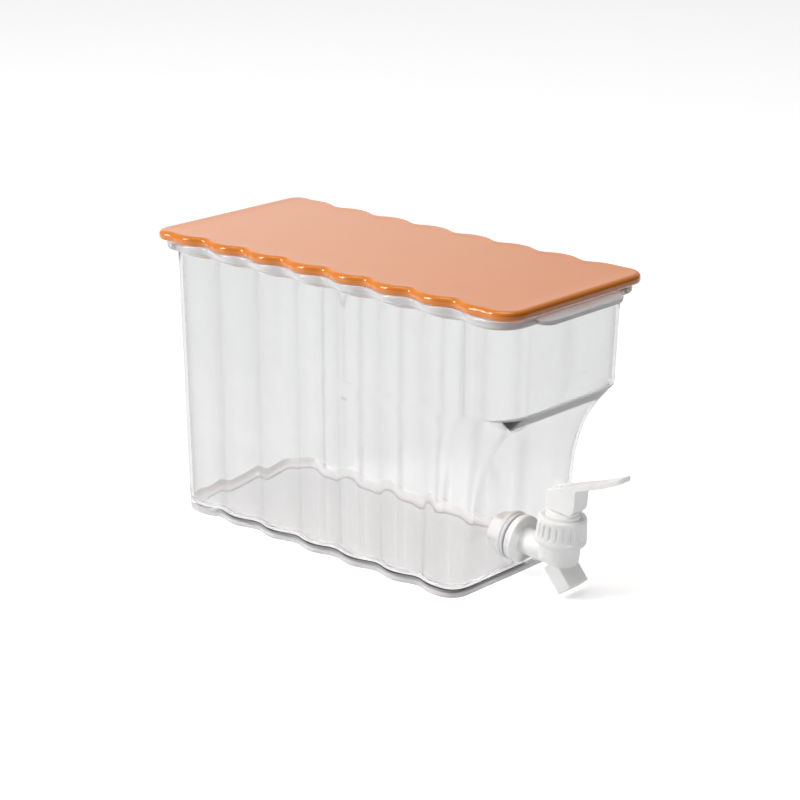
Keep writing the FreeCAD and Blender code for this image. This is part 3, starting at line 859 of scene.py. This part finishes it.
def makeSpring():
    rise, around = spring["top"] - spring["bottom"], 2 * math.pi * spring["turns"]
    steps = spring["turns"] * 40
    rings = []
    for i in range(steps + 1):
        turn = around * i / steps
        out = Vector((math.cos(turn), math.sin(turn), 0))
        centre = Vector((tap["axisOut"], 0, spring["bottom"] + rise * i / steps)) + out * spring["radius"]
        along = Vector((-out.y * spring["radius"], out.x * spring["radius"], rise / around)).normalized()
        across = along.cross(out)
        spots = [2 * math.pi * k / 12 for k in range(12)]
        rings.append([centre + (out * math.cos(a) + across * math.sin(a)) * spring["wire"] for a in spots])
    verts, faces = stackRings(rings)
    return scaled(makeObject("returnSpringCoil", verts, faces, 60), tapPlace)


coil = finishPiece(makeSpring(), springSteel, "tank", "return_spring")
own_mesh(coil)
print("spring made")

for name, material in (("valve_stem", whitePlastic), ("seat_cup", milkSilicone), ("lever_pin", springSteel)):
    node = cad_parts[name]
    node.data.materials.clear()
    node.data.materials.append(material)


# stage, lights and camera

studio = {
    "floorColour": (0.93, 0.93, 0.93), "floorGlow": 0.44, "brightSide": (1.0, 1.0, 1.0),
    "darkSide": (0.14, 0.14, 0.145), "underGlow": 2.1,
    "skyStrength": 0.46, "farGlow": 1.35, "keyPower": 12.0, "topPower": 33.0, "tapPower": 3.6,
}


def makeFloor():
    half = 6.0
    corners = [(-half, -half, 0), (half, -half, 0), (half, half, 0), (-half, half, 0)]
    floor = makeObject("paleFloor", corners, [(0, 1, 2, 3)])
    material, tree, shader = newMaterial("paleFloorPaint")
    grain = placeGroup(tree, mouldGrain, {"Wave Scale": 3.0, "Skin Scale": 400.0, "Skin Share": 0.3})
    colour = blendColours(tree, grain.outputs["Mottle"], studio["floorColour"], (0.94, 0.94, 0.94))
    tree.links.new(colour, shader.inputs["Base Color"])
    shader.inputs["Roughness"].default_value = 0.9
    shader.inputs["Emission Color"].default_value = (1.0, 1.0, 1.0, 1.0)
    shader.inputs["Emission Strength"].default_value = studio["floorGlow"]
    floor.data.materials.append(material)
    floor.visible_diffuse = False  # seen, but throws no light up at the piece


def makeSky():
    world = bpy.data.worlds.new("studioSky")
    world.use_nodes = True
    tree = world.node_tree
    background = tree.nodes["Background"]
    coords = tree.nodes.new("ShaderNodeTexCoord").outputs["Generated"]
    split = tree.nodes.new("ShaderNodeSeparateXYZ")
    tree.links.new(coords, split.inputs[0])
    side = rangeNode(tree, split.outputs["X"], -0.1, 0.65, 0.0, 1.0)  # the room is dimmer beyond the tap
    colour = blendColours(tree, side, studio["brightSide"], studio["darkSide"])
    toward = tree.nodes.new("ShaderNodeVectorMath")  # a pale screen far behind the back end
    toward.operation = "DOT_PRODUCT"
    tree.links.new(coords, toward.inputs[0])
    toward.inputs[1].default_value = Vector((-0.847, 0.531, 0.25)).normalized()
    screen = rangeNode(tree, toward.outputs["Value"], 0.90, 1.0, 0.0, studio["farGlow"])
    below = rangeNode(tree, split.outputs["Z"], -0.15, 0.0, studio["underGlow"], 1.0)
    screen = mathNode(tree, "ADD", screen, below)
    tree.links.new(mathNode(tree, "MULTIPLY", screen, studio["skyStrength"]), background.inputs["Strength"])
    tree.links.new(colour, background.inputs["Color"])
    scene.world = world


def addAreaLight(name, place, target, size, power, colour=(1, 1, 1)):
    data = bpy.data.lights.new(name, "AREA")
    data.shape = "RECTANGLE"
    data.size, data.size_y = size
    data.energy = power
    data.color = colour
    light = bpy.data.objects.new(name, data)
    scene.collection.objects.link(light)
    light.location = place
    light.rotation_mode = "QUATERNION"
    light.rotation_quaternion = (Vector(target) - Vector(place)).to_track_quat("-Z", "Y")
    return light


camera = {"azimuth": 41.92, "elevation": 18.05, "roll": 0.255, "distance": 1.4855, "lens": 103.9,
          "target": (-0.03577, 0.06692, 0.05926)}


def makeCamera():
    data = bpy.data.cameras.new("camera")
    data.lens = camera["lens"]
    data.sensor_width = 36.0
    data.clip_start, data.clip_end = 0.05, 50.0
    obj = bpy.data.objects.new("camera", data)
    scene.collection.objects.link(obj)
    a, e = math.radians(camera["azimuth"]), math.radians(camera["elevation"])
    back = Vector((math.sin(a) * math.cos(e), -math.cos(a) * math.cos(e), math.sin(e)))
    obj.location = Vector(camera["target"]) + back * camera["distance"]
    obj.rotation_mode = "QUATERNION"
    level = (-back).to_track_quat("-Z", "Y")
    obj.rotation_quaternion = level @ Matrix.Rotation(math.radians(camera["roll"]), 3, "Z").to_quaternion()
    scene.camera = obj


makeFloor()
makeSky()
centre = (cadBox[0] + cadBox[1]) / 2
addAreaLight("keySoftbox", centre + Vector((-0.95, -1.25, 0.75)), centre, (0.35, 0.9), studio["keyPower"])
addAreaLight("topSoftbox", centre + Vector((-0.1, -0.3, 3.0)), centre, (2.0, 2.0), studio["topPower"])
tapSpotPlace = Vector((0.16, 0, 0.04))
card = addAreaLight("tapCard", tapSpotPlace + Vector((0.9, -0.25, 0.02)), tapSpotPlace, (0.25, 0.12),
                    studio["tapPower"])
tapPieces = bpy.data.collections.new("tapPieces")  # the card lights the white tap only
for name in ("tapWhiteBody", "lockNutInside", "collarRibbedNut", "bonnetGuide", "leverWhiteHandle"):
    tapPieces.objects.link(bpy.data.objects[name])
card.light_linking.receiver_collection = tapPieces
makeCamera()
scene.view_settings.view_transform = "Standard"
print("stage made")
